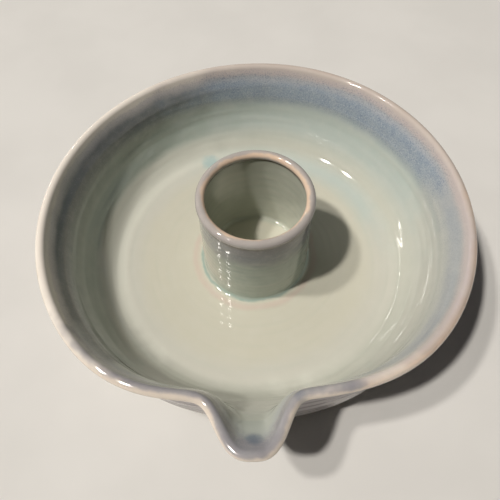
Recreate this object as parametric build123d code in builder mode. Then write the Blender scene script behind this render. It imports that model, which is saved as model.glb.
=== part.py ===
"""Wheel-thrown roasting dish with a pulled pouring spout and an open cup in its middle.

Millimetres, +Z up. The origin is on the axis of throwing, on the surface that the foot stands on.
The spout points along -Y. Angles are in degrees from the spout, positive towards +X.

The clay pieces are the thrown dish, the foot ring, the thrown cup and the coils that join the cup
to the floor. The fired glaze coats are thin solids of their own that lie on the clay. A "skin" of
0 gives a section's bare clay, and a skin of GLAZE gives the clay with its coat.
"""

from build123d import *
import math
import os

# ---------------------------------------------------------------- driving dimensions

GLAZE = 0.6  # thickness of the fired coat

# dish, measured on its glazed faces
FLOOR_UNDER = 4.0
FLOOR_TOP = 12.0
FLAT_FLOOR_RADIUS = 93.5
BEND_RADIUS = 13.5  # the floor turns up in a tight bend, then in a wider cove
BEND_ANGLE = 39.0
COVE_RADIUS = 50.0
WALL_START = 24.0  # below this height the dish is a plain body of revolution
WALL_START_RADIUS = 122.6
WALL_LEAN = 0.165  # outward run for each millimetre of height
FLARE_START = 44.0
FLARE = 4.5
FLARE_POWER = 1.7
THINNING_START = 52.0
WALL_TOP = 67.0  # the lip's bead is centred here
WALL_TOP_THICKNESS = 4.8
LIP_RADIUS = 3.0
GLAZE_LINE = 7.0  # the heel is bare clay below this height
DISH_BAND_HEIGHT = 52.0  # the second glaze covers the dish above this height
LEDGE = 0.05  # the wall stands this far in from the edges of the body under it

# spout and the two shoulders beside it
SPOUT_REACH = 27.7
SPOUT_HALF_ANGLE = 8.6
SPOUT_POWER_LEFT = 2.7
SPOUT_POWER_RIGHT = 3.3
SPOUT_CENTRE = -0.9
SPOUT_PULL_POWER = 1.5
SHOULDER_DEPTH = 15.5
SHOULDER_HALF_ANGLE_LEFT = 27.5
SHOULDER_HALF_ANGLE_RIGHT = 33.3
SHOULDER_POWER = 2.5

# unevenness of the hand-thrown rim
RIM_SHIFT = 1.5  # towards the spout
RIM_OVAL = 0.6  # longer across the front left and the back right

# foot ring under the floor
FOOT_OUTER_RADIUS = 98.0
FOOT_INNER_RADIUS = 89.0
FOOT_ROUNDING = 1.2

# cup, measured on its glazed faces
CUP_FOOT_RADIUS = 36.3
CUP_STRAIGHT_TOP = 18.0
CUP_NECK_RADIUS = 35.8
CUP_BORE_RADIUS = 31.9
CUP_BEAD_RADIUS = 2.95
CUP_BEAD_CENTRE = 33.85
CUP_BEAD_HEIGHT = 78.6
OUTER_COIL = 3.6
INNER_COIL = 3.0
CUP_BAND_HEIGHT = 60.0  # the second glaze covers the cup above this height

# horizontal sections that shape the dish's wall: heights, and angles as (first, last, steps)
SECTION_HEIGHTS = (24.0, 28.0, 32.0, 38.0, 45.0, 52.0, 58.0, 63.0, 67.0)
SECTION_SECTORS = ((-44, -16, 8), (-16, 16, 18), (16, 44, 8), (44, 316, 20))

# ---------------------------------------------------------------- worked-out dimensions

FLOOR_CLAY_TOP = FLOOR_TOP - GLAZE
BEND_SINE = math.sin(math.radians(BEND_ANGLE))
BEND_COSINE = math.cos(math.radians(BEND_ANGLE))
COVE_CENTRE_RADIUS = FLAT_FLOOR_RADIUS - (COVE_RADIUS - BEND_RADIUS) * BEND_SINE
COVE_CENTRE_HEIGHT = FLOOR_TOP + BEND_RADIUS + (COVE_RADIUS - BEND_RADIUS) * BEND_COSINE
LEAN_SINE = math.sin(math.atan(WALL_LEAN))
COVE_END = COVE_CENTRE_HEIGHT - COVE_RADIUS * LEAN_SINE
HEEL_RADIUS = (WALL_START - FLOOR_UNDER) / (1 - LEAN_SINE)
HEEL_RUN = HEEL_RADIUS * math.cos(math.atan(WALL_LEAN))
COIL_RADIUS = CUP_FOOT_RADIUS - GLAZE + OUTER_COIL


# ---------------------------------------------------------------- shape of the dish's wall


def rise(height, low, high):
    """0 at the low height, 1 at the high one, with a soft start and end."""
    share = min(max((height - low) / (high - low), 0.0), 1.0)
    return share * share * (3 - 2 * share)


def round_radius(height):
    """Glazed outside radius of the wall, away from the spout."""
    flare = max((height - FLARE_START) / (WALL_TOP - FLARE_START), 0.0) ** FLARE_POWER
    return WALL_START_RADIUS + WALL_LEAN * (height - WALL_START) + FLARE * flare


def outer_radius(angle, height):
    """Glazed outside radius of the wall at any angle."""
    on_right = angle > SPOUT_CENTRE
    half_angle = SHOULDER_HALF_ANGLE_RIGHT if on_right else SHOULDER_HALF_ANGLE_LEFT
    power = SPOUT_POWER_RIGHT if on_right else SPOUT_POWER_LEFT
    shoulder = math.exp(-((abs(angle) / half_angle) ** SHOULDER_POWER))
    spout = math.exp(-((abs(angle - SPOUT_CENTRE) / SPOUT_HALF_ANGLE) ** power))
    pulled = SPOUT_REACH * ((height - WALL_START) / (WALL_TOP - WALL_START)) ** SPOUT_PULL_POWER
    turn = math.radians(angle)
    uneven = RIM_SHIFT * math.cos(turn) - RIM_OVAL * math.sin(2 * turn)
    moved = (uneven - SHOULDER_DEPTH * shoulder) * rise(height, WALL_START, WALL_TOP)
    return round_radius(height) + moved + pulled * spout


def cove_radius(height):
    """Glazed inside radius where the floor curves up into the wall."""
    return COVE_CENTRE_RADIUS + math.sqrt(COVE_RADIUS**2 - (COVE_CENTRE_HEIGHT - height) ** 2)


def wall_thickness(height):
    """Glazed wall thickness, thicker in the cove and thinner under the lip."""
    level = min(height, COVE_END)
    body = round_radius(level) - cove_radius(level)
    return body + (WALL_TOP_THICKNESS - body) * rise(height, THINNING_START, WALL_TOP)


def section_angles():
    """Angles all round the dish, closest together at the spout."""
    angles = []
    for first, last, steps in SECTION_SECTORS:
        angles += [first + (last - first) * i / steps for i in range(steps)]
    return [angle - 360 if angle > 180 else angle for angle in angles]


def outline(height, inset):
    """Points of a horizontal section, moved in by an inset from the glazed outside."""
    small = 0.05
    points = []
    for angle in section_angles():
        radius = outer_radius(angle, height)
        change = outer_radius(angle + small, height) - outer_radius(angle - small, height)
        turn = math.radians(angle)
        outward = Vector(math.sin(turn), -math.cos(turn))
        sideways = Vector(math.cos(turn), math.sin(turn))
        normal = (outward * radius - sideways * (change / math.radians(2 * small))).normalized()
        points.append(outward * radius - normal * inset)
    return points


def filled_wall(inset_at):
    """Solid from WALL_START to WALL_TOP that fills the sections, inset by inset_at(height)."""
    with BuildPart() as body:
        for height in SECTION_HEIGHTS:
            with BuildSketch(Plane.XY.offset(height)):
                with BuildLine():
                    Spline(*outline(height, inset_at(height)), periodic=True)
                make_face()
        loft()
    return body.part


def lip_bead(radius):
    """Round bead along the top of the wall, swept in two halves that meet."""
    lift = Vector(0, 0, WALL_TOP)
    with BuildLine() as path:
        Spline(*[point + lift for point in outline(WALL_TOP, WALL_TOP_THICKNESS / 2)], periodic=True)
    whole = path.edges()[0]
    with BuildPart() as bead:
        for half in (whole.trim(0, 0.5), whole.trim(0.5, 1)):
            with BuildSketch(Plane(origin=half @ 0, z_dir=half % 0)):
                Circle(radius)
            sweep(path=half)
    return bead.part


def wall_with_lip(skin):
    """The dish's wall above WALL_START, as clay or as clay with its coat."""
    outside = filled_wall(lambda height: GLAZE - skin)
    inside = filled_wall(lambda height: wall_thickness(height) - GLAZE + skin)
    bead = lip_bead(LIP_RADIUS - GLAZE + skin)
    with BuildPart() as wall:
        add(outside)
        add(inside, mode=Mode.SUBTRACT)
        add(bead)
    return wall.part


def base_section(skin):
    """Half section of the floor, cove and heel below WALL_START."""
    outside = WALL_START_RADIUS - GLAZE + skin + LEDGE
    inside = cove_radius(WALL_START) + GLAZE - skin - LEDGE
    floor = FLOOR_CLAY_TOP + skin
    bend = BEND_RADIUS + GLAZE - skin
    bend_end = (FLAT_FLOOR_RADIUS + bend * BEND_SINE, floor + bend * (1 - BEND_COSINE))
    heel = (outside - HEEL_RUN, FLOOR_UNDER)
    with BuildSketch(Plane.XZ) as section:
        with BuildLine():
            Polyline((outside, WALL_START), (inside, WALL_START))
            TangentArc(bend_end, (inside, WALL_START), tangent=(BEND_COSINE, BEND_SINE))
            TangentArc((FLAT_FLOOR_RADIUS, floor), bend_end, tangent=(1, 0))
            Polyline((FLAT_FLOOR_RADIUS, floor), (0, floor), (0, FLOOR_UNDER), heel)
            TangentArc(heel, (outside, WALL_START), tangent=(1, 0))
        make_face()
    return section.sketch


def coil_section(side, wall_radius, size, skin):
    """Half section of a luting coil in the corner of floor and cup; side is +1 outside the cup."""
    corner = (wall_radius, FLOOR_CLAY_TOP)
    centre = (wall_radius + side * size, FLOOR_CLAY_TOP + size)
    with BuildSketch(Plane.XZ) as section:
        with Locations(((corner[0] + centre[0]) / 2, (corner[1] + centre[1]) / 2)):
            Rectangle(size, size)
        with Locations(centre):
            Circle(size - skin, mode=Mode.SUBTRACT)
    return section.sketch


def coils_section(skin):
    """Half section of both luting coils."""
    with BuildSketch(Plane.XZ) as section:
        add(coil_section(1, CUP_FOOT_RADIUS - GLAZE, OUTER_COIL, skin))
        add(coil_section(-1, CUP_BORE_RADIUS + GLAZE, INNER_COIL, skin))
    return section.sketch


def cup_section(skin):
    """Half section of the cup's wall and its rolled rim."""
    foot = CUP_FOOT_RADIUS - GLAZE + skin
    neck = CUP_NECK_RADIUS - GLAZE + skin
    bore = CUP_BORE_RADIUS + GLAZE - skin
    with BuildSketch(Plane.XZ) as section:
        with BuildLine():
            Polyline(
                (bore, FLOOR_CLAY_TOP),
                (foot, FLOOR_CLAY_TOP),
                (foot, CUP_STRAIGHT_TOP),
                (neck, CUP_BEAD_HEIGHT),
                (bore, CUP_BEAD_HEIGHT),
                close=True,
            )
        make_face()
        with Locations((CUP_BEAD_CENTRE, CUP_BEAD_HEIGHT)):
            Circle(CUP_BEAD_RADIUS - GLAZE + skin)
    return section.sketch


def coat_sections(glazed, clay):
    """The separate faces that a glazed half section adds to a clay one, innermost first."""
    with BuildSketch(Plane.XZ) as section:
        add(glazed)
        add(clay, mode=Mode.SUBTRACT)
    return section.sketch.faces().sort_by(Axis.X)


def cropped(section, low, high):
    """The part of a half section between the low and high corners of a window."""
    with BuildSketch(Plane.XZ) as window:
        add(section)
        with Locations(((low[0] + high[0]) / 2, (low[1] + high[1]) / 2)):
            Rectangle(high[0] - low[0], high[1] - low[1], mode=Mode.INTERSECT)
    return window.sketch


def keep(piece, name):
    """Label a finished piece and write it as its own file."""
    piece.label = name
    export_step(piece, f"parts/{name}.step")


os.makedirs("parts", exist_ok=True)

# ---------------------------------------------------------------- clay

clay_wall = wall_with_lip(0)
clay_base = base_section(0)
clay_coils = coils_section(0)
clay_cup = cup_section(0)

with BuildPart() as dish_body:
    with BuildSketch(Plane.XZ):
        add(clay_base)
    revolve(axis=Axis.Z)
    add(clay_wall)
keep(dish_body.part, "dish_body")

with BuildPart() as foot_ring:
    with BuildSketch():
        Circle(FOOT_OUTER_RADIUS)
        Circle(FOOT_INNER_RADIUS, mode=Mode.SUBTRACT)
    extrude(amount=FLOOR_UNDER)
    fillet(foot_ring.faces().sort_by(Axis.Z)[0].edges(), FOOT_ROUNDING)
keep(foot_ring.part, "foot_ring")

with BuildPart() as centre_cup:
    with BuildSketch(Plane.XZ):
        add(clay_cup)
    revolve(axis=Axis.Z)
keep(centre_cup.part, "centre_cup")

with BuildPart() as cup_joint_coils:
    with BuildSketch(Plane.XZ):
        add(clay_coils)
    revolve(axis=Axis.Z)
keep(cup_joint_coils.part, "cup_joint_coils")

# ---------------------------------------------------------------- glaze on the dish

glazed_wall = wall_with_lip(GLAZE)
floor_and_cove_coat, heel_coat = coat_sections(base_section(GLAZE), clay_base)
floor_coat_start = (COIL_RADIUS, FLOOR_CLAY_TOP)
heel_coat_start = (FLAT_FLOOR_RADIUS, GLAZE_LINE)
base_corner = (WALL_START_RADIUS + LEDGE, WALL_START)

with BuildPart() as wall_coat:
    add(glazed_wall)
    add(clay_wall, mode=Mode.SUBTRACT)

with BuildPart() as dish_rim_glaze:
    add(wall_coat.part)
    split(bisect_by=Plane.XY.offset(DISH_BAND_HEIGHT), keep=Keep.TOP)
keep(dish_rim_glaze.part, "dish_rim_glaze")

with BuildPart() as lower_wall_coat:
    add(wall_coat.part)
    split(bisect_by=Plane.XY.offset(DISH_BAND_HEIGHT), keep=Keep.BOTTOM)
inner_wall_coat, outer_wall_coat = lower_wall_coat.solids().sort_by(lambda coat: coat.bounding_box().size.X)

with BuildPart() as dish_glaze_inside:
    with BuildSketch(Plane.XZ):
        add(cropped(floor_and_cove_coat, floor_coat_start, base_corner))
    revolve(axis=Axis.Z)
    add(inner_wall_coat)
keep(dish_glaze_inside.part, "dish_glaze_inside")

with BuildPart() as dish_glaze_outside:
    with BuildSketch(Plane.XZ):
        add(cropped(heel_coat, heel_coat_start, base_corner))
    revolve(axis=Axis.Z)
    add(outer_wall_coat)
keep(dish_glaze_outside.part, "dish_glaze_outside")

# ---------------------------------------------------------------- glaze on the cup

with BuildSketch(Plane.XZ) as glazed_cup:
    with Locations((CUP_BORE_RADIUS / 2, FLOOR_CLAY_TOP + GLAZE / 2)):
        Rectangle(CUP_BORE_RADIUS, GLAZE)
    add(cup_section(GLAZE))
    add(coils_section(GLAZE))
with BuildSketch(Plane.XZ) as bare_cup:
    add(clay_cup)
    add(clay_coils)
cup_coat = coat_sections(glazed_cup.sketch, bare_cup.sketch)

for name, low, high in (
    ("cup_glaze_outside", (CUP_BEAD_CENTRE, FLOOR_CLAY_TOP), (COIL_RADIUS, CUP_BAND_HEIGHT)),
    ("cup_glaze_inside", (0, FLOOR_CLAY_TOP), (CUP_BEAD_CENTRE, CUP_BAND_HEIGHT)),
    ("cup_rim_glaze", (0, CUP_BAND_HEIGHT), (COIL_RADIUS, CUP_BEAD_HEIGHT + CUP_BEAD_RADIUS)),
):
    with BuildPart() as coat:
        with BuildSketch(Plane.XZ):
            add(cropped(cup_coat, low, high))
        revolve(axis=Axis.Z)
    keep(coat.part, name)
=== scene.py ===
"""Looks of the thrown roasting dish: its glaze coats and bare clay, with their throwing rings.

Each pot is one grid of points on its bare clay. The grid's rows follow the pot's section, from
the axis outwards, up the inside, over the lip and down the outside. Its columns go round the
axis. The glaze is the same grid, one coat's thickness further out, cut into bands of rows.
Sections are worked out in millimetres and meshes are made in metres. The spout points along -Y.
Angles are measured from the spout, positive towards +X.
"""

import math

import bmesh
import bpy
import numpy as np
from mathutils import Matrix, Vector


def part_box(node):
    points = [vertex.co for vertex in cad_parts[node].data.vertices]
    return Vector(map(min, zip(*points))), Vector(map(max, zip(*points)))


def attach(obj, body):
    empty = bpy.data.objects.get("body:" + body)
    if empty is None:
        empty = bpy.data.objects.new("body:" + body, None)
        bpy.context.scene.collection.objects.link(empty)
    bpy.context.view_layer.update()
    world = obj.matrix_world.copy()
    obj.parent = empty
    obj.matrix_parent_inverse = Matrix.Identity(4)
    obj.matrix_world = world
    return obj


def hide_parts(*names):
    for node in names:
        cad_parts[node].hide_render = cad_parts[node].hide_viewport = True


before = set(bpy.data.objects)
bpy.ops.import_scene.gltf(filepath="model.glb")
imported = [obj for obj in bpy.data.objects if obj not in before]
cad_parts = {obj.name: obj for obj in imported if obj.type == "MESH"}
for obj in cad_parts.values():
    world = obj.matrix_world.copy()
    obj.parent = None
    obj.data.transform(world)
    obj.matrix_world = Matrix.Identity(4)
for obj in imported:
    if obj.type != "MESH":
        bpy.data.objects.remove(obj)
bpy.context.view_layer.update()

METRE = 1000.0  # millimetres

# ---------------------------------------------------------------- sizes read from the frame


def lowest(node):
    """Lowest corner of a CAD node, in millimetres."""
    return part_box(node)[0] * METRE


def highest(node):
    """Highest corner of a CAD node, in millimetres."""
    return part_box(node)[1] * METRE


GLAZE = highest("dish_rim_glaze").z - highest("dish_body").z
FLOOR = lowest("cup_glaze_inside").z  # top of the clay floor
UNDERSIDE = lowest("dish_body").z
LIP_TOP = highest("dish_body").z
GLAZE_LINE = lowest("dish_glaze_outside").z
BAND = lowest("dish_rim_glaze").z  # the second glaze starts at this height
CUP_TOP = highest("centre_cup").z
CUP_BAND = lowest("cup_rim_glaze").z
COIL_RADIUS = highest("cup_joint_coils").x
RING_RADIUS = highest("foot_ring").x

# ---------------------------------------------------------------- shape, on the bare clay

# floor and wall
FLAT_FLOOR = 93.5
BEND = 14.1  # the floor turns up in a tight bend, then in a wider cove
BEND_TURN = math.radians(39)
COVE = 50.6
WALL_START = 24.0
WALL_START_RADIUS = 122.0
LEAN = 0.165  # how far the wall leans out for each unit of height
FLARE_START = 44.0
FLARE = 4.5
FLARE_POWER = 1.7
THINNING_START = 52.0
WALL_TOP_THICKNESS = 3.6
LIP = 2.4
LIP_BLEND_START = 60.0

# spout, and the rim that is pulled in beside it
SPOUT_REACH = 27.7
SPOUT_HALF_ANGLE = 8.6
SPOUT_POWER_LEFT = 2.7
SPOUT_POWER_RIGHT = 3.3
SPOUT_CENTRE = -0.9
SPOUT_PULL_POWER = 1.5
SHOULDER_DEPTH = 15.5
SHOULDER_HALF_ANGLE_LEFT = 27.5
SHOULDER_HALF_ANGLE_RIGHT = 33.3
SHOULDER_POWER = 2.5
RIM_SHIFT = 1.5  # the rim stands this far towards the spout
RIM_OVAL = 0.6

# cup
CUP_FOOT = 35.7
CUP_STRAIGHT_TOP = 18.0
CUP_NECK = 35.2
CUP_BORE = 32.5
CUP_BEAD = 2.35
CUP_BEAD_CENTRE = 33.85
CUP_BEAD_ARC = (208, -28)  # degrees, over the bead from inside to outside
OUTER_COIL = COIL_RADIUS - CUP_FOOT
INNER_COIL = 3.0
UNDERCUT = 2.6  # length of the hollow between the cup's wall and its bead

# unevenness of the thrown dish, and the thin lower edge of its coat
OUT_OF_ROUND = 0.25
OUT_OF_LEVEL = 0.20
LOW_PINCH = 4.0  # pulling the spout also draws in the lower wall beside it
TAPER = 1.6  # the coat thins out over this length above the bare heel

# foot ring
RING_WIDTH = 9.0
RING_ROUNDING = 1.2

# worked out from the above
WALL_TOP = LIP_TOP - LIP
LEAN_ANGLE = math.atan(LEAN)
COVE_CENTRE_RADIUS = FLAT_FLOOR - (COVE - BEND) * math.sin(BEND_TURN)
COVE_CENTRE = FLOOR + BEND + (COVE - BEND) * math.cos(BEND_TURN)
COVE_END = COVE_CENTRE - COVE * math.sin(LEAN_ANGLE)
HEEL = (WALL_START - UNDERSIDE) / (1 - math.sin(LEAN_ANGLE))
HEEL_RUN = HEEL * math.cos(LEAN_ANGLE)
CUP_BEAD_HEIGHT = CUP_TOP - CUP_BEAD

# rows of the grids, in millimetres, and columns, in degrees
ROW_STEP = 0.85
ARC_STEP = 0.45
UNDERSIDE_STEP = 2.4
UNDER_CUP_RADII = (2, 6, 12, 20, 28, 34, 38)
CUP_FLOOR_RADII = (2, 5, 8, 11, 14, 17, 20, 22, 24, 26, 28)
JOIN_ROWS = 9  # rows from the wall to the lip
LIP_ROWS = 17
BACK_ROWS = 4  # a coat's hidden side keeps one row in this many
CLAY_ROWS = 3  # and the clay under it one in this many
SPOUT_COLUMN = 0.25
SPOUT_SECTOR = 22.5
ROUND_COLUMN = 0.9
CUP_COLUMN = 1.5
RING_COLUMN = 1.0
CREASE = math.radians(40)  # sharper edges of the bare clay aren't smoothed


# ---------------------------------------------------------------- section of the dish


def rise(value, low, high):
    """0 at low, 1 at high, with a soft start and end."""
    share = np.clip((value - low) / (high - low), 0, 1)
    return share * share * (3 - 2 * share)


def dish_angles():
    """Columns all round the dish in degrees, closer together at the spout."""
    spout = np.arange(-SPOUT_SECTOR, SPOUT_SECTOR, SPOUT_COLUMN)
    rest = 360 - 2 * SPOUT_SECTOR
    others = SPOUT_SECTOR + np.arange(0, rest - 1e-6, rest / round(rest / ROUND_COLUMN))
    return np.concatenate([spout, np.where(others > 180, others - 360, others)])


def round_radius(height):
    """Outside radius of the wall, away from the spout."""
    flare = max((height - FLARE_START) / (WALL_TOP - FLARE_START), 0.0) ** FLARE_POWER
    return WALL_START_RADIUS + LEAN * (height - WALL_START) + FLARE * flare


def shoulder(angles):
    """1 beside the spout, falling to 0 round the sides of the dish."""
    half = np.where(angles > SPOUT_CENTRE, SHOULDER_HALF_ANGLE_RIGHT, SHOULDER_HALF_ANGLE_LEFT)
    return np.exp(-((np.abs(angles) / half) ** SHOULDER_POWER))


def outer_radius(angles, height):
    """Outside radius of the wall at each angle."""
    power = np.where(angles > SPOUT_CENTRE, SPOUT_POWER_RIGHT, SPOUT_POWER_LEFT)
    spout = np.exp(-((np.abs(angles - SPOUT_CENTRE) / SPOUT_HALF_ANGLE) ** power))
    pulled = SPOUT_REACH * ((height - WALL_START) / (WALL_TOP - WALL_START)) ** SPOUT_PULL_POWER
    turn = np.radians(angles)
    uneven = RIM_SHIFT * np.cos(turn) - RIM_OVAL * np.sin(2 * turn)
    moved = (uneven - SHOULDER_DEPTH * shoulder(angles)) * rise(height, WALL_START, WALL_TOP)
    return round_radius(height) + moved + pulled * spout


def wall_thickness(height):
    """Thickness of the clay wall, thicker in the cove and thinner under the lip."""
    level = min(height, COVE_END)
    cove = COVE_CENTRE_RADIUS + math.sqrt(COVE**2 - (COVE_CENTRE - level) ** 2)
    body = round_radius(level) - cove
    return body + (WALL_TOP_THICKNESS - body) * rise(height, THINNING_START, WALL_TOP)


def circle(angles, radius, height):
    """One row of a body of revolution."""
    turn = np.radians(angles)
    return np.stack([radius * np.sin(turn), -radius * np.cos(turn), height + 0 * turn], 1)


def wall_row(angles, height, inset):
    """One row of the wall, and the horizontal direction out of it at each column."""
    small = 0.05
    radius = outer_radius(angles, height)
    change = outer_radius(angles + small, height) - outer_radius(angles - small, height)
    outward = circle(angles, 1.0, 0.0)
    sideways = circle(angles + 90, 1.0, 0.0)
    normal = outward * radius[:, None] - sideways * (change / math.radians(2 * small))[:, None]
    normal /= np.linalg.norm(normal, axis=1)[:, None]
    row = outward * radius[:, None] - normal * inset
    row[:, 2] = height
    return row, normal


def between(start, start_way, end, end_way, count):
    """Rows that join two rows smoothly, leaving and reaching them in the given directions."""
    rows = []
    for t in np.arange(1, count) / count:
        rows.append(
            (2 * t**3 - 3 * t**2 + 1) * start
            + (t**3 - 2 * t**2 + t) * start_way
            + (3 * t**2 - 2 * t**3) * end
            + (t**3 - t**2) * end_way
        )
    return rows


def steps(start, end):
    """Evenly spaced values from start up to, but not including, end."""
    count = max(round(abs(end - start) / ROW_STEP), 2)
    return start + (end - start) * np.arange(count) / count


def dish_rows(angles):
    """The dish's rows from the axis over the lip to the underside, and named row numbers."""
    rows, marks = [], {}

    # floor, bend, cove and inner wall
    for radius in UNDER_CUP_RADII:
        rows.append(circle(angles, radius, FLOOR))
    marks["coat_start"] = len(rows)
    for radius in steps(COIL_RADIUS, FLAT_FLOOR):
        rows.append(circle(angles, radius, FLOOR))
    for turn in steps(0, BEND_TURN * BEND) / BEND:
        radius = FLAT_FLOOR + BEND * math.sin(turn)
        rows.append(circle(angles, radius, FLOOR + BEND * (1 - math.cos(turn))))
    cove_turn = math.acos((COVE_CENTRE - WALL_START) / COVE)
    for turn in steps(BEND_TURN * COVE, cove_turn * COVE) / COVE:
        radius = COVE_CENTRE_RADIUS + COVE * math.sin(turn)
        rows.append(circle(angles, radius, COVE_CENTRE - COVE * math.cos(turn)))
    for height in steps(WALL_START, BAND):
        rows.append(wall_row(angles, height, wall_thickness(height))[0])
    marks["inner_band"] = len(rows)
    for height in steps(BAND, LIP_BLEND_START):
        rows.append(wall_row(angles, height, wall_thickness(height))[0])

    # lip, a half circle square to the wall's slope at its top, and its joins to the wall
    thickness = wall_thickness(LIP_BLEND_START)
    below = wall_thickness(LIP_BLEND_START - 1)
    inner, _ = wall_row(angles, LIP_BLEND_START, thickness)
    inner_way = inner - wall_row(angles, LIP_BLEND_START - 1, below)[0]
    outer, _ = wall_row(angles, LIP_BLEND_START, 0)
    outer_way = outer - wall_row(angles, LIP_BLEND_START - 1, 0)[0]
    middle, out = wall_row(angles, WALL_TOP, WALL_TOP_THICKNESS / 2)
    up = middle - wall_row(angles, WALL_TOP - 1, WALL_TOP_THICKNESS / 2)[0]
    up /= np.linalg.norm(up, axis=1)[:, None]
    out = out - up * (out * up).sum(1)[:, None]
    out /= np.linalg.norm(out, axis=1)[:, None]
    blend = WALL_TOP - LIP_BLEND_START

    rows.append(inner)
    rows += between(inner, inner_way * blend, middle - out * LIP, up * blend, JOIN_ROWS)
    marks["lip_start"] = len(rows)
    for turn in np.radians(np.linspace(0, 180, LIP_ROWS)):
        rows.append(middle - out * LIP * math.cos(turn) + up * LIP * math.sin(turn))
    marks["lip_end"] = len(rows) - 1
    rows += between(middle + out * LIP, -up * blend, outer, -outer_way * blend, JOIN_ROWS)

    # outer wall, heel and underside
    for height in steps(LIP_BLEND_START, BAND):
        rows.append(wall_row(angles, height, 0)[0])
    marks["outer_band"] = len(rows)
    for height in steps(BAND, WALL_START):
        rows.append(wall_row(angles, height, 0)[0])
    heel_centre = WALL_START_RADIUS - HEEL_RUN
    line_turn = math.asin((UNDERSIDE + HEEL - GLAZE_LINE) / HEEL)
    for first, last in ((LEAN_ANGLE, line_turn), (line_turn, math.pi / 2)):
        for turn in steps(first * HEEL, last * HEEL) / HEEL:
            radius = heel_centre + HEEL * math.cos(turn)
            rows.append(circle(angles, radius, UNDERSIDE + HEEL - HEEL * math.sin(turn)))
        marks.setdefault("coat_end", len(rows))
    for radius in np.arange(heel_centre, UNDER_CUP_RADII[0], -UNDERSIDE_STEP):
        rows.append(circle(angles, radius, UNDERSIDE))
    return np.array(rows), marks


# ---------------------------------------------------------------- section of the cup


def arc(centre, radius, first, last):
    """Points (radius, height) of an arc between two angles in degrees from the horizontal."""
    length = radius * abs(math.radians(last - first))
    count = max(round(length / ARC_STEP), 4)
    turns = np.radians(np.linspace(first, last, count + 1))
    return [(centre[0] + radius * math.cos(t), centre[1] + radius * math.sin(t)) for t in turns]


def cup_rows(angles):
    """The cup's rows from the axis up its inside, over its bead and down to the floor."""
    points, marks = [], {}
    points += [(radius, FLOOR) for radius in CUP_FLOOR_RADII]
    marks["bore_start"] = len(points)
    points += arc((CUP_BORE - INNER_COIL, FLOOR + INNER_COIL), INNER_COIL, -90, 0)
    inner_coil_top = points.pop()[1]
    marks["coil_top"] = len(points)
    for height in steps(inner_coil_top, CUP_BAND):
        points.append((CUP_BORE, height))
    marks["inner_band"] = len(points)
    neck = CUP_BEAD_HEIGHT - UNDERCUT
    for height in steps(CUP_BAND, neck):
        points.append((CUP_BORE, height))
    points.append((CUP_BORE, neck))
    marks["bead_start"] = len(points)
    points += arc((CUP_BEAD_CENTRE, CUP_BEAD_HEIGHT), CUP_BEAD, *CUP_BEAD_ARC)
    marks["bead_end"] = len(points) - 1
    slope = (CUP_FOOT - CUP_NECK) / (CUP_BEAD_HEIGHT - CUP_STRAIGHT_TOP)
    outer_coil_top = FLOOR + OUTER_COIL

    def outside(height):
        return (CUP_FOOT - slope * max(height - CUP_STRAIGHT_TOP, 0), height)

    for height in steps(neck, CUP_BAND):
        points.append(outside(height))
    marks["outer_band"] = len(points)
    for height in steps(CUP_BAND, outer_coil_top):
        points.append(outside(height))
    marks["foot"] = len(points)
    points += arc((COIL_RADIUS, outer_coil_top), OUTER_COIL, 180, 270)
    return np.array([circle(angles, radius, height) for radius, height in points]), marks


# ---------------------------------------------------------------- marks of the potter's hand

DISH_SEED = 21
CUP_SEED = 42
ROUND_SEED = 11
LEVEL_SEED = 12
RIPPLES = 16
RING_WANDER = 0.10  # a ring strays from its spiral by this share of its pitch
CREST = 0.30  # a second wave makes the crests narrow and lopsided
CREST_SHIFT = 1.1
# how strong a field of ripples is, its shortest and longest ripple, and its most waves round the pot
PATCHES = (0.35, 11.0, 34.0, 3)
SMEARS = (0.55, 5.0, 15.0, 9)


def waves(values, lowest_count, highest_count, seed):
    """A smooth random curve from about -1 to 1 that repeats every 360 degrees."""
    random = np.random.default_rng(seed)
    total = np.zeros_like(values, float)
    for count in range(lowest_count, highest_count + 1):
        total += random.normal() * np.cos(np.radians(values) * count + random.uniform(0, math.tau))
    return total / math.sqrt(highest_count - lowest_count + 1)


def ripples(run, angles, kind, seed):
    """A patchy field of low ripples that run nearly level round the pot."""
    strength, shortest, longest, most = kind
    random = np.random.default_rng(seed)
    total = np.zeros((len(run), len(angles)))
    for length in np.geomspace(shortest, longest, RIPPLES):
        way = random.integers(-most, most + 1)
        shift = random.uniform(0, math.tau)
        total += np.cos(math.tau * run[:, None] / length + np.radians(angles) * way + shift)
    return strength * total / math.sqrt(RIPPLES / 2)


def throwing_rings(run, angles, pitch, seed):
    """A spiral of soft ridges: one row for each run, one column for each angle."""
    turns = np.concatenate([[0], np.cumsum(np.diff(run) / ((pitch[1:] + pitch[:-1]) / 2))])
    wander = RING_WANDER * waves(angles, 1, 4, seed)
    phase = turns[:, None] + angles[None, :] / 360 + wander[None, :]
    ridge = np.cos(math.tau * phase) + CREST * np.cos(2 * math.tau * phase + CREST_SHIFT)
    patches = 1 + ripples(run, angles, PATCHES, seed + 1)
    return patches * ridge + ripples(run, angles, SMEARS, seed + 2)


def normals_of(rows):
    """Unit normals of a grid, on the side away from the clay."""
    along = np.gradient(rows, axis=0)
    around = np.roll(rows, -1, axis=1) - np.roll(rows, 1, axis=1)
    normal = np.cross(along, around)
    return normal / np.linalg.norm(normal, axis=2)[:, :, None]


def runs_of(rows, column):
    """Distance along the section from the axis to each row, in one column."""
    line = rows[:, column]
    lengths = np.linalg.norm(np.diff(line, axis=0), axis=1)
    return math.hypot(line[0, 0], line[0, 1]) + np.concatenate([[0], np.cumsum(lengths)])


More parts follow.
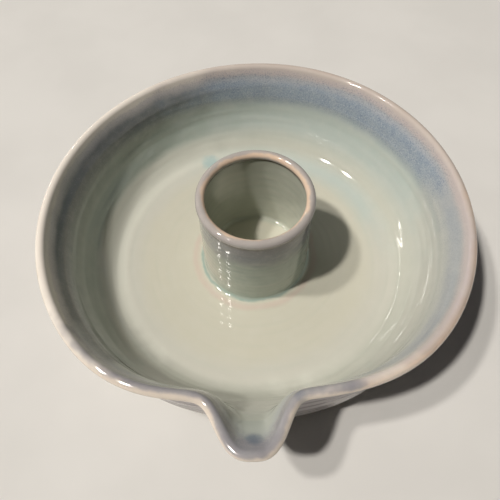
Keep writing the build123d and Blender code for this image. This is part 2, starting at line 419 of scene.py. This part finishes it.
def thrown(rows, run, angles, pitch, depth, seed, thickness):
    """A pot: its clay with rings of the given pitch and depth, its coat, and their normals."""
    ridge = throwing_rings(run, angles, pitch, seed)
    clay = rows + normals_of(rows) * (ridge * depth[:, None])[:, :, None]
    normal = normals_of(clay)
    glazed = clay + normal * thickness[:, None, None]
    return {
        "run": run,
        "ridge": ridge,
        "clay": clay,
        "normal": normal,
        "glazed": glazed,
        "glazed_normal": normals_of(glazed),
    }


# ---------------------------------------------------------------- meshes


def grid_mesh(name, rows, poles=()):
    """A closed solid from rows of points. The rows close on themselves, or end in two poles."""
    count, columns = rows.shape[:2]
    points = rows.reshape(-1, 3)
    index = np.arange(count * columns).reshape(count, columns)
    ends = index if poles else np.vstack([index, index[:1]])
    here, there = ends[:-1], ends[1:]
    quads = np.stack([here, there, np.roll(there, -1, 1), np.roll(here, -1, 1)], 2)
    faces = quads.reshape(-1, 4).tolist()
    if poles:
        first, last = len(points), len(points) + 1
        points = np.vstack([points, poles])
        for column in range(columns):
            beside = (column + 1) % columns
            faces.append((first, index[0, column], index[0, beside]))
            faces.append((last, index[-1, beside], index[-1, column]))
    mesh = bpy.data.meshes.new(name)
    mesh.from_pydata((points / METRE).tolist(), [], faces)
    mesh.shade_smooth()
    return mesh


def paint(mesh, name, values):
    """Store one number for each point, which the materials read."""
    layer = mesh.attributes.new(name, "FLOAT", "POINT")
    layer.data.foreach_set("value", np.asarray(values, np.float32))


def piece(name, mesh, material):
    """An object that stands for the CAD node of the same name."""
    made = bpy.data.objects.new(f"{name}_looks", mesh)
    bpy.context.scene.collection.objects.link(made)
    mesh.materials.append(material)
    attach(made, "root")
    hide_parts(name)


def coat(name, pot, first, last, material, poles=()):
    """A glaze coat over rows first to last of a pot. Its hidden side has fewer rows."""
    front = np.arange(first, last + 1)
    back = np.unique(np.append(front[::BACK_ROWS], last))[::-1]
    rows = np.concatenate([pot["glazed"][front], pot["clay"][back]])
    facing = np.concatenate([pot["glazed_normal"][front], -pot["normal"][back]]).reshape(-1, 3)
    if poles:
        facing = np.vstack([facing, (0, 0, 1), (0, 0, -1)])
    mesh = grid_mesh(name, rows, poles)
    mesh.normals_split_custom_set_from_vertices(facing.tolist())
    used = np.concatenate([front, back])
    at_poles = [0.0] * len(poles)
    paint(mesh, "run", np.append(np.repeat(pot["run"][used], rows.shape[1]), at_poles))
    paint(mesh, "ridge", np.append(pot["ridge"][used].ravel(), at_poles))
    piece(name, mesh, material)


def clay_piece(name, rows, material, poles=()):
    """A bare clay solid whose rows close on themselves, or end in two poles."""
    mesh = grid_mesh(name, rows, poles)
    mesh.set_sharp_from_angle(angle=CREASE)
    piece(name, mesh, material)


def joined(meshes):
    """Several meshes as one."""
    combine = bmesh.new()
    for mesh in meshes:
        combine.from_mesh(mesh)
    combine.to_mesh(meshes[0])
    combine.free()
    return meshes[0]


# ---------------------------------------------------------------- materials

COLOURS = {
    "floor": (0.640, 0.625, 0.525),
    "floor_far": (0.620, 0.615, 0.545),
    "halo": (0.540, 0.600, 0.560),
    "cove": (0.560, 0.570, 0.500),
    # painted light: a paler cove for the left side, standing in for light the lamps give it too little
    # of
    "cove_painted_light": (0.700, 0.705, 0.625),
    # the next two colours, for the left wall: partly its own greener glaze, partly painted shade of
    # the wall that faces away from the lamps
    "celadon_and_painted_shade": (0.440, 0.500, 0.440),
    "deep": (0.320, 0.370, 0.325),
    "wall": (0.550, 0.555, 0.500),
    "wall_back": (0.500, 0.560, 0.530),
    "wall_high": (0.510, 0.520, 0.490),
    # the band under the left lip: partly a real dark glaze band, partly painted shade under the lip
    "slate": (0.200, 0.215, 0.220),
    "pale_slate": (0.410, 0.430, 0.450),
    "lip_slate": (0.330, 0.322, 0.345),
    # the next two are painted light on the inner half of the left lip, which faces away from the
    # lamps: a pale lilac, then a near white
    "lip_lilac_painted_light": (0.640, 0.600, 0.600),
    "lip_cream_painted_light": (0.950, 0.880, 0.800),
    "blue": (0.310, 0.370, 0.440),
    "blue_grey": (0.440, 0.460, 0.500),
    "mauve": (0.430, 0.400, 0.410),
    "lilac": (0.580, 0.510, 0.500),
    "rose": (0.630, 0.550, 0.500),
    "tan": (0.570, 0.470, 0.410),
    "peach": (0.780, 0.600, 0.480),
    "cream": (0.800, 0.700, 0.600),
    "under_lip": (0.550, 0.470, 0.450),
    "outside": (0.430, 0.390, 0.400),
    "outside_low": (0.430, 0.410, 0.385),
    "channel": (0.500, 0.530, 0.480),
    "cup_low": (0.370, 0.430, 0.370),
    "cup_mid": (0.360, 0.410, 0.360),
    "cup_high": (0.250, 0.262, 0.275),
    "cup_lilac": (0.240, 0.230, 0.245),
    # the next two are painted light: paler colours for the cup's left side, which faces the lamps
    "cup_painted_light": (0.560, 0.570, 0.490),
    "cup_painted_light_high": (0.430, 0.430, 0.410),
    "cup_inside": (0.540, 0.560, 0.480),
    "bead_lilac": (0.480, 0.440, 0.420),
    "bead_peach": (0.820, 0.620, 0.470),
    # painted shade: a dark brown line in the hollows under the cup's bead
    "undercut_painted_shade": (0.200, 0.170, 0.150),
    "turquoise": (0.330, 0.430, 0.385),
    "blush": (0.640, 0.560, 0.480),
    "speck": (0.160, 0.200, 0.300),
    "frost": (0.640, 0.680, 0.720),
    "pool": (0.620, 0.780, 0.740),
    "milk": (0.700, 0.690, 0.630),
    "spot_blue": (0.260, 0.480, 0.520),
    "pool_blue": (0.130, 0.170, 0.240),
    "clay": (0.580, 0.460, 0.340),
    "toast": (0.500, 0.340, 0.220),
    "iron": (0.160, 0.090, 0.060),
    "sand": (0.680, 0.580, 0.460),
    "surface_dark": (0.720, 0.710, 0.690),
    "surface_pale": (0.760, 0.750, 0.730),
}

# sizes of the lumps in a glaze, in millimetres
DRIFT = 26
RAGGED = 4
GRAIN = 0.9
CLOUD = 9
SHEEN = 14
FINGER_HEIGHT = 4.5
FINGER_LENGTH = 60

# how far they move a colour's edge along the section, in millimetres, and round the pot, in degrees
DRIFT_ALONG = 6.0
RAGGED_ALONG = 1.4
DRIFT_ROUND = 60.0

GLAZE_IOR = 1.6
GLAZE_ROUGHNESS = (0.03, 0.08)
DARK_CRYSTALS = 0.55  # most cover of each kind
PALE_CRYSTALS = 0.35
THIN_CRYSTALS = 0.35  # share of them away from the side where they are strongest
CRYSTALS_START = 10  # lengths over which they come in and go out
CRYSTALS_END = 5
CLOUDING = 0.14


class Graph:
    """A material's node tree, with short calls for what the recipes below use."""

    def __init__(self, name):
        self.material = bpy.data.materials.new(name)
        self.material.use_nodes = True
        self.tree = self.material.node_tree
        self.shader = self.tree.nodes["Principled BSDF"]
        self.place = self.node("ShaderNodeTexCoord").outputs["Object"]

    def node(self, kind, **settings):
        made = self.tree.nodes.new(kind)
        for key, value in settings.items():
            setattr(made, key, value)
        return made

    def feed(self, socket, value):
        """Link an output to a socket, or set the socket's own value."""
        if isinstance(value, bpy.types.NodeSocket):
            self.tree.links.new(value, socket)
        else:
            socket.default_value = value

    def maths(self, operation, *values):
        made = self.node("ShaderNodeMath", operation=operation)
        for socket, value in zip(made.inputs, values):
            self.feed(socket, value)
        return made.outputs[0]

    def attribute(self, name):
        return self.node("ShaderNodeAttribute", attribute_name=name).outputs["Fac"]

    def noise(self, size, detail=2.0, roughness=0.5):
        """Noise from 0 to 1 whose lumps are about size millimetres across."""
        made = self.node("ShaderNodeTexNoise")
        self.feed(made.inputs["Vector"], self.place)
        made.inputs["Scale"].default_value = METRE / size
        made.inputs["Detail"].default_value = detail
        made.inputs["Roughness"].default_value = roughness
        return made.outputs["Fac"]

    def finger_marks(self, run, height, length):
        """Noise drawn out round the pot: height along the section, length round the axis."""
        apart = self.node("ShaderNodeSeparateXYZ")
        self.feed(apart.inputs[0], self.place)
        joined = self.node("ShaderNodeCombineXYZ")
        for axis in "XY":
            self.feed(joined.inputs[axis], self.maths("MULTIPLY", apart.outputs[axis], METRE / length))
        self.feed(joined.inputs["Z"], self.maths("DIVIDE", run, height))
        made = self.node("ShaderNodeTexNoise")
        self.feed(made.inputs["Vector"], joined.outputs[0])
        made.inputs["Scale"].default_value = 1.0
        made.inputs["Detail"].default_value = 1.0
        return made.outputs["Fac"]

    def spread(self, value, low, high, to_low=0.0, to_high=1.0):
        """Map a value softly from one range to another, held at its ends."""
        made = self.node("ShaderNodeMapRange", interpolation_type="SMOOTHSTEP")
        for socket, given in zip(made.inputs, (value, low, high, to_low, to_high)):
            self.feed(socket, given)
        return made.outputs[0]

    def blend(self, share, under, over, kind="MIX"):
        made = self.node("ShaderNodeMix", data_type="RGBA", blend_type=kind)
        self.feed(made.inputs["Factor"], share)
        for socket, colour in ((made.inputs[6], under), (made.inputs[7], over)):
            linked = isinstance(colour, bpy.types.NodeSocket)
            self.feed(socket, colour if linked else (*colour, 1.0))
        return made.outputs[2]

    def ramp(self, value, stops, length):
        """Colours along a length. Stops are (distance, name of a colour)."""
        made = self.node("ShaderNodeValToRGB")
        made.color_ramp.interpolation = "EASE"
        elements = made.color_ramp.elements
        while len(elements) < len(stops):
            elements.new(1.0)
        for element, (distance, name) in zip(elements, stops):
            element.position = distance / length
            element.color = (*COLOURS[name], 1.0)
        self.feed(made.inputs[0], self.maths("DIVIDE", value, length))
        return made.outputs[0]

    def nearness(self, point, radius, ragged):
        """1 near a point in millimetres and 0 beyond a radius, with a ragged edge."""
        made = self.node("ShaderNodeVectorMath", operation="DISTANCE")
        self.feed(made.inputs[0], self.place)
        made.inputs[1].default_value = tuple(x / METRE for x in point)
        distance = self.maths("MULTIPLY", made.outputs["Value"], METRE)
        distance = self.maths("ADD", distance, self.maths("MULTIPLY", ragged, radius))
        return self.spread(distance, radius * 1.5, radius * 0.5)

    def degrees_from(self, towards):
        """Degrees round the axis from an angle, 0 to 180."""
        apart = self.node("ShaderNodeSeparateXYZ")
        self.feed(apart.inputs[0], self.place)
        front = self.maths("MULTIPLY", apart.outputs["Y"], -1.0)
        turn = self.maths("ARCTAN2", apart.outputs["X"], front)
        turned = self.maths("COSINE", self.maths("SUBTRACT", turn, math.radians(towards)))
        return self.maths("DEGREES", self.maths("ARCCOSINE", turned))

    def relief(self, height, depth):
        """Bump from a height of 0 to 1 that stands for a depth in millimetres."""
        made = self.node("ShaderNodeBump")
        made.inputs["Strength"].default_value = 1.0
        made.inputs["Distance"].default_value = depth / METRE
        self.feed(made.inputs["Height"], height)
        self.feed(self.shader.inputs["Normal"], made.outputs[0])


def glaze(name, length, usual, sides, band, rings, marks, spots=()):
    """A glossy glaze with a colour for each run.

    Each side has its own stops round an angle, in full within one angle and gone beyond another.
    The band is the run where crystals start and the run where they end. They are strongest on
    the last side. Rings says how much the glaze darkens in hollows and pales on crests, and marks
    how deep the fine finger marks under it are, in millimetres. A spot is a point, a radius, a
    colour and how much it covers.
    """
    g = Graph(name)
    run = g.attribute("run")
    ridge = g.attribute("ridge")
    drift = g.maths("SUBTRACT", g.noise(DRIFT, 3.0), 0.5)
    ragged = g.maths("SUBTRACT", g.noise(RAGGED, 3.0), 0.5)
    grain = g.noise(GRAIN, 2.0, 0.6)
    wandering = g.maths("MULTIPLY_ADD", drift, DRIFT_ALONG, run)
    wandering = g.maths("MULTIPLY_ADD", ragged, RAGGED_ALONG, wandering)
    colour = g.ramp(wandering, usual, length)
    for towards, full, gone, stops in sides:
        apart = g.maths("MULTIPLY_ADD", drift, DRIFT_ROUND, g.degrees_from(towards))
        share = g.spread(apart, gone, full)
        colour = g.blend(share, colour, g.ramp(wandering, stops, length))

    # dark and pale crystals where the second glaze is thick
    starts = g.spread(wandering, band[0], band[0] + CRYSTALS_START)
    ends = g.spread(wandering, band[1] - CRYSTALS_END, band[1], 1.0, 0.0)
    strength = g.spread(share, 0.0, 1.0, THIN_CRYSTALS, 1.0)
    thick = g.maths("MULTIPLY", g.maths("MULTIPLY", starts, ends), strength)
    dark = g.maths("MULTIPLY", g.spread(grain, 0.50, 0.66, 0.0, DARK_CRYSTALS), thick)
    pale = g.maths("MULTIPLY", g.spread(grain, 0.44, 0.30, 0.0, PALE_CRYSTALS), thick)
    colour = g.blend(dark, colour, COLOURS["speck"])
    colour = g.blend(pale, colour, COLOURS["frost"])

    # glaze pools in the hollows between rings, thins on their crests and clouds over elsewhere
    hollows = g.spread(ridge, -0.2, -1.8, 0.0, rings)
    crests = g.spread(ridge, 0.3, 1.9, 0.0, rings / 2)
    clouds = g.spread(g.noise(CLOUD, 4.0, 0.6), 0.35, 0.75, 0.0, CLOUDING)
    colour = g.blend(hollows, colour, COLOURS["pool"], "MULTIPLY")
    colour = g.blend(crests, colour, COLOURS["cream"])
    colour = g.blend(clouds, colour, COLOURS["milk"])
    for point, radius, tint, cover in spots:
        near = g.maths("MULTIPLY", g.nearness(point, radius, ragged), cover)
        colour = g.blend(near, colour, COLOURS[tint])
    g.feed(g.shader.inputs["Base Color"], colour)
    g.feed(g.shader.inputs["Roughness"], g.spread(g.noise(SHEEN, 3.0), 0.35, 0.70, *GLAZE_ROUGHNESS))
    g.shader.inputs["IOR"].default_value = GLAZE_IOR
    fingers = g.finger_marks(run, FINGER_HEIGHT, FINGER_LENGTH)
    g.relief(g.maths("MULTIPLY_ADD", grain, 0.06, fingers), marks)
    return g.material


def stoneware():
    """Bare fired clay: sandy buff with iron specks and a toasted blush."""
    g = Graph("bare_stoneware")
    colour = g.blend(g.spread(g.noise(16, 3.0), 0.35, 0.7), COLOURS["clay"], COLOURS["toast"])
    colour = g.blend(g.spread(g.noise(0.8), 0.64, 0.72, 0.0, 0.55), colour, COLOURS["iron"])
    colour = g.blend(g.spread(g.noise(0.5), 0.4, 0.7, 0.0, 0.35), colour, COLOURS["sand"])
    g.feed(g.shader.inputs["Base Color"], colour)
    g.feed(g.shader.inputs["Roughness"], g.spread(g.noise(2), 0.3, 0.7, 0.72, 0.92))
    g.relief(g.noise(0.7, 3.0), 0.10)
    return g.material


def pale_surface():
    """The plain surface that the dish stands on."""
    g = Graph("pale_surface")
    patches = g.spread(g.noise(90, 3.0), 0.3, 0.7)
    colour = g.blend(patches, COLOURS["surface_dark"], COLOURS["surface_pale"])
    g.feed(g.shader.inputs["Base Color"], colour)
    g.shader.inputs["Roughness"].default_value = 0.85
    return g.material


# ---------------------------------------------------------------- the dish


def hand_shaped(rows, angles):
    """The dish's rows a little out of round and out of level, as they leave the hand."""
    height = rows[:, :, 2]
    radius = np.linalg.norm(rows[:, :, :2], axis=2)
    share = rise(height, WALL_START, WALL_TOP)
    swell = OUT_OF_ROUND * share * waves(angles, 2, 5, ROUND_SEED)[None, :]
    low = rise(height, UNDERSIDE, WALL_START) * (1 - rise(height, WALL_START, LIP_BLEND_START))
    pinch = LOW_PINCH * low * rise(radius, FLAT_FLOOR, WALL_START_RADIUS) * shoulder(angles)[None, :]
    rows[:, :, :2] *= (1 + (swell - pinch) / radius)[:, :, None]
    rows[:, :, 2] += OUT_OF_LEVEL * share * waves(angles, 2, 4, LEVEL_SEED)[None, :]
    return rows


def rings_along(run, places):
    """Pitch and depth of the rings at each run, from (run, pitch, depth) at a few places."""
    where, pitch, depth = zip(*places)
    return np.interp(run, where, pitch), np.interp(run, where, depth)


def dish_rings(run, at):
    """Pitch and depth of the dish's throwing rings at each run."""
    band, lip_in, lip_out, bare = at["inner_band"], at["lip_start"], at["lip_end"], at["coat_end"]
    return rings_along(
        run,
        (
            (0, 5, 0.1),
            (COIL_RADIUS, 5, 0),
            (COIL_RADIUS + 3, 5, 0.030),
            (COIL_RADIUS + 18, 6, 0.020),
            (FLAT_FLOOR - 12, 9, 0.012),
            (FLAT_FLOOR + 6, 9, 0.040),
            (band, 10, 0.060),
            (lip_in - 6, 9, 0.050),
            (lip_in, 8, 0.01),
            (lip_out, 8, 0.01),
            (lip_out + 6, 6, 0.13),
            (bare - 8, 6, 0.13),
            (bare, 3, 0.04),
            (run[-1], 3.5, 0.06),
        ),
    )


def dish_glaze(length, at):
    """The glazes of the dish, as one material: the colours of its left, right, back and front, the
    left with painted light and shade.
    """
    band, lip_in, lip_out = at["inner_band"], at["lip_start"], at["lip_end"]
    lip_top = (lip_in + lip_out) / 2
    floor = ((38, "floor"), (42.5, "blush"), (46, "floor"), (74, "floor"))
    outside = (
        (lip_out - 1, "cream"),
        (lip_out + 4, "under_lip"),
        (at["outer_band"], "outside"),
        (at["coat_end"], "outside_low"),
    )
    left = (
        *floor,
        (88, "floor_far"),
        # painted light: the left cove is paler than its glaze, for light the lamps give it too little
        # of
        (98, "cove_painted_light"),
        (109, "cove_painted_light"),
        # the left wall: partly its own greener glaze, partly painted shade, darkest in the band under
        # the lip
        (118, "celadon_and_painted_shade"),
        (124, "celadon_and_painted_shade"),
        (134, "deep"),
        (band + 3, "slate"),
        (band + 7, "slate"),
        # painted light: the inner half of the left lip is paler than its glaze, for light the lamps
        # don't give it
        (lip_in - 4.5, "lip_lilac_painted_light"),
        (lip_in - 1.5, "lip_cream_painted_light"),
        (lip_top, "lip_cream_painted_light"),
        *outside,
    )
    right = (
        *floor,
        (92, "floor_far"),
        (104, "cove"),
        (122, "wall"),
        (band - 4, "wall_high"),
        (band + 6, "pale_slate"),
        (band + 10, "pale_slate"),
        (lip_in - 1, "lilac"),
        (lip_in + 1, "lilac"),
        (lip_top - 1, "tan"),
        (lip_top + 1, "peach"),
        *outside,
    )
    back = (
        *floor,
        (90, "halo"),
        (104, "cove"),
        (122, "wall_back"),
        (band - 14, "wall_back"),
        (band - 2, "blue"),
        (band + 6, "blue"),
        (lip_in - 7, "blue_grey"),
        (lip_in - 3, "lilac"),
        (lip_top - 2, "rose"),
        (lip_top + 1, "tan"),
        *outside,
    )
    front = (
        *floor,
        (92, "floor_far"),
        (106, "cove"),
        (122, "wall"),
        (band, "channel"),
        (lip_in - 8, "pale_slate"),
        (lip_in - 5, "lip_slate"),
        (lip_top - 1.5, "lip_slate"),
        (lip_top, "mauve"),
        (lip_top + 1, "cream"),
        *outside,
    )
    sides = ((85, 40, 80, right), (-14, 22, 42, front), (150, 25, 75, back))
    spots = (
        ((-36, 84, 12), 6, "spot_blue", 0.45),
        ((-1, -127, 56), 12, "channel", 0.9),
        ((-1, -139, 62), 4.5, "pool_blue", 0.7),
        ((23, -118, 68), 3.5, "pool_blue", 0.35),
    )
    crystals = (band - 12, lip_in + 1)
    return glaze("dish_glaze", length, left, sides, crystals, 0.05, 0.035, spots)


def make_dish(clay):
    """The dish's clay and its three coats."""
    angles = dish_angles()
    rows, mark = dish_rows(angles)
    run = runs_of(rows, int(np.argmax(np.abs(angles))))
    at = {name: run[index] for name, index in mark.items()}
    pitch, depth = dish_rings(run, at)
    ending = np.clip((at["coat_end"] - run) / TAPER, 0, 1)
    thickness = GLAZE * np.sqrt(1 - (1 - ending) ** 2)
    pot = thrown(hand_shaped(rows, angles), run, angles, pitch, depth, DISH_SEED, thickness)
    finish = dish_glaze(run[-1], at)

    number = np.arange(len(run))
    skipped = (number < mark["coat_end"] - 4) & (number % CLAY_ROWS > 0)
    poles = ((0, 0, FLOOR), (0, 0, UNDERSIDE))
    clay_piece("dish_body", pot["clay"][~skipped], clay, poles)
    coat("dish_glaze_inside", pot, mark["coat_start"], mark["inner_band"], finish)
    coat("dish_rim_glaze", pot, mark["inner_band"], mark["outer_band"], finish)
    coat("dish_glaze_outside", pot, mark["outer_band"], mark["coat_end"], finish)


def make_foot_ring(clay):
    """The ring that the dish stands on, closed a little way inside the dish's underside."""
    angles = np.arange(0, 360, RING_COLUMN)
    inside = RING_RADIUS - RING_WIDTH
    middle = (RING_RADIUS + inside) / 2
    top, foot, side = 2.0, 2.4, 0.3  # gaps between a corner and the next point
    section = [(radius, UNDERSIDE) for radius in (RING_RADIUS - top, middle, inside + top, inside)]
    section += [(inside, height) for height in np.linspace(UNDERSIDE - 0.8, RING_ROUNDING + side, 3)]
    section += arc((inside + RING_ROUNDING, RING_ROUNDING), RING_ROUNDING, 180, 270)
    section += [(inside + foot, 0), (middle, 0), (RING_RADIUS - foot, 0)]
    section += arc((RING_RADIUS - RING_ROUNDING, RING_ROUNDING), RING_ROUNDING, -90, 0)
    section += [(RING_RADIUS, height) for height in np.linspace(RING_ROUNDING + side, UNDERSIDE, 4)]
    rows = np.array([circle(angles, radius, height) for radius, height in section])
    clay_piece("foot_ring", rows, clay)


# ---------------------------------------------------------------- the cup


def cup_rings(run, at):
    """Pitch and depth of the cup's throwing rings at each run."""
    bore, bead_in, bead_out, foot = at["bore_start"], at["bead_start"], at["bead_end"], at["foot"]
    return rings_along(
        run,
        (
            (0, 4, 0.03),
            (bore, 5, 0.02),
            (bore + 12, 7, 0.02),
            (bead_in - 6, 7, 0.02),
            (bead_in, 5, 0),
            (bead_out, 5, 0),
            (bead_out + 6, 4.8, 0.038),
            (foot - 5, 4.8, 0.038),
            (foot, 4, 0.02),
            (run[-1], 4, 0),
        ),
    )


def cup_glaze(length, at):
    """The glazes of the cup, as one material: its usual colours, and paler ones at its left as painted
    light on the side towards the lamps.
    """
    bore, bead_in, bead_out = at["bore_start"], at["bead_start"], at["bead_end"]
    band, foot = at["outer_band"], at["foot"]
    bead_top = (bead_in + bead_out) / 2
    inside = (
        (0, "floor"),
        (bore - 3, "floor"),
        (bore + 3, "cup_inside"),
        (bead_in - 4, "cup_inside"),
        # painted shade in the hollows under the bead, inside and outside the cup
        (bead_in - 1, "undercut_painted_shade"),
        (bead_in + 1.0, "bead_lilac"),
        (bead_in + 2.4, "bead_peach"),
        (bead_in + 3.4, "bead_peach"),
        (bead_top + 0.2, "bead_lilac"),
        (bead_out - 1, "bead_lilac"),
        (bead_out + 1, "undercut_painted_shade"),
    )
    joint = ((foot + 3.0, "turquoise"), (length, "floor"))
    outside = (
        (bead_out + 4, "cup_lilac"),
        (band - 4, "cup_high"),
        (band + 10, "cup_mid"),
        (foot - 6, "cup_low"),
        (foot + 2.0, "cup_low"),
    )
    # painted light: paler colours for the outside of the cup where it faces the lamps
    lit = (
        (bead_out + 5, "cup_painted_light_high"),
        (band, "cup_painted_light_high"),
        (band + 10, "cup_painted_light"),
        (foot + 1.0, "cup_painted_light"),
    )
    usual = (*inside, *outside, *joint)
    sides = ((-85, 25, 75, (*inside, *lit, *joint)),)
    return glaze("cup_glaze", length, usual, sides, (bead_top, band), 0.12, 0.015)


def make_cup(clay):
    """The cup's clay, the coils that join it to the floor, and its three coats."""
    angles = np.arange(0, 360, CUP_COLUMN)
    rows, mark = cup_rows(angles)
    run = runs_of(rows, 0)
    at = {name: run[index] for name, index in mark.items()}
    pitch, depth = cup_rings(run, at)
    pot = thrown(rows, run, angles, pitch, depth, CUP_SEED, np.full(len(run), GLAZE))
    finish = cup_glaze(run[-1], at)

    wall = pot["clay"][mark["coil_top"] : mark["foot"] + 1]
    base = [circle(angles, radius, FLOOR) for radius in (CUP_FOOT, CUP_BORE)]
    clay_piece("centre_cup", np.concatenate([wall, base]), clay)
    coils = []
    for first, last, root in (
        (mark["foot"], len(run) - 1, CUP_FOOT),
        (mark["bore_start"], mark["coil_top"], CUP_BORE),
    ):
        section = np.concatenate([pot["clay"][first : last + 1], [circle(angles, root, FLOOR)]])
        coils.append(grid_mesh("coil", section))
    both = joined(coils)
    both.set_sharp_from_angle(angle=CREASE)
    piece("cup_joint_coils", both, clay)
    poles = ((0, 0, FLOOR + GLAZE), (0, 0, FLOOR))
    coat("cup_glaze_inside", pot, 0, mark["inner_band"], finish, poles)
    coat("cup_rim_glaze", pot, mark["inner_band"], mark["outer_band"], finish)
    coat("cup_glaze_outside", pot, mark["outer_band"], len(run) - 1, finish)


# ---------------------------------------------------------------- surroundings, in metres

CAMERA_PLACE = Vector((0.0, -0.1894, 0.3329))
CAMERA_DOWN = math.radians(59.10)
CAMERA_YAW = math.radians(-1.18)
CAMERA_ROLL = math.radians(-1.08)
CAMERA_LENS = 37.44
GROUND = 60.0
LAMP_DISTANCE = 12.0
LAMP_SIZE = 0.74
LAMP_TINT = (1.0, 0.95, 0.88)
STRIP_SIZE = (10.3, 0.096)
STRIP_TINT = (1.0, 0.97, 0.92)
SKY_TINT = (0.93, 0.96, 1.0)
HORIZON = 0.26  # strength of the room's light at the horizon
OVERHEAD = 0.024  # and overhead
SKY_FALL = 0.22  # it falls from one to the other by this height, where straight up is 1


def aim(forward, roll=0.0):
    """Rotation that looks along a direction, rolled about it."""
    turned = forward.to_track_quat("-Z", "Y").to_matrix()
    return (turned @ Matrix.Rotation(roll, 3, "Z")).to_4x4()


def make_camera():
    """The camera, above the spout and looking down into the dish."""
    data = bpy.data.cameras.new("camera")
    data.lens = CAMERA_LENS
    data.clip_start = 0.01
    camera = bpy.data.objects.new("camera", data)
    level = math.cos(CAMERA_DOWN)
    sideways, ahead = math.sin(CAMERA_YAW) * level, math.cos(CAMERA_YAW) * level
    forward = Vector((sideways, ahead, -math.sin(CAMERA_DOWN)))
    camera.matrix_world = Matrix.Translation(CAMERA_PLACE) @ aim(forward, CAMERA_ROLL)
    bpy.context.scene.collection.objects.link(camera)
    bpy.context.scene.camera = camera


def make_lamp(name, direction, size, power, tint, height=None):
    """A soft light that shines on the dish from a direction: a disk, or a strip of a height."""
    data = bpy.data.lights.new(name, "AREA")
    data.shape = "DISK" if height is None else "RECTANGLE"
    data.size = size
    data.size_y = size if height is None else height
    data.energy = power
    data.color = tint
    lamp = bpy.data.objects.new(name, data)
    away = Vector(direction).normalized()
    lamp.matrix_world = Matrix.Translation(away * LAMP_DISTANCE) @ aim(-away)
    bpy.context.scene.collection.objects.link(lamp)


def make_ground():
    """The plain pale surface under the dish."""
    corners = [(-GROUND, -GROUND, 0), (GROUND, -GROUND, 0), (GROUND, GROUND, 0), (-GROUND, GROUND, 0)]
    mesh = bpy.data.meshes.new("ground")
    mesh.from_pydata(corners, [], [(0, 1, 2, 3)])
    mesh.materials.append(pale_surface())
    ground = bpy.data.objects.new("ground", mesh)
    bpy.context.scene.collection.objects.link(ground)


def make_world():
    """Soft light from all round, brighter at the horizon than overhead."""
    world = bpy.data.worlds.new("room")
    world.use_nodes = True
    nodes, links = world.node_tree.nodes, world.node_tree.links
    place = nodes.new("ShaderNodeTexCoord")
    apart = nodes.new("ShaderNodeSeparateXYZ")
    fall = nodes.new("ShaderNodeMapRange")
    sky = nodes["Background"]
    sky.inputs["Color"].default_value = (*SKY_TINT, 1.0)
    for socket, value in zip(fall.inputs[1:5], (0.0, SKY_FALL, HORIZON, OVERHEAD)):
        socket.default_value = value
    links.new(place.outputs["Generated"], apart.inputs[0])
    links.new(apart.outputs["Z"], fall.inputs["Value"])
    links.new(fall.outputs[0], sky.inputs["Strength"])
    bpy.context.scene.world = world


def make_surroundings():
    """The ground, the room's soft light, two lamps at the left and a thin strip at the back."""
    make_ground()
    make_world()
    make_lamp("key", (-0.422, -0.197, 0.885), LAMP_SIZE, 890, LAMP_TINT)
    make_lamp("second", (-0.491, -0.034, 0.870), LAMP_SIZE, 497, LAMP_TINT)
    make_lamp("strip", (-0.65, 0.62, 0.42), STRIP_SIZE[0], 150, STRIP_TINT, STRIP_SIZE[1])
    bpy.context.scene.view_settings.view_transform = "Standard"


make_camera()
make_surroundings()
stone = stoneware()
make_dish(stone)
make_foot_ring(stone)
make_cup(stone)

bpy.context.view_layer.update()
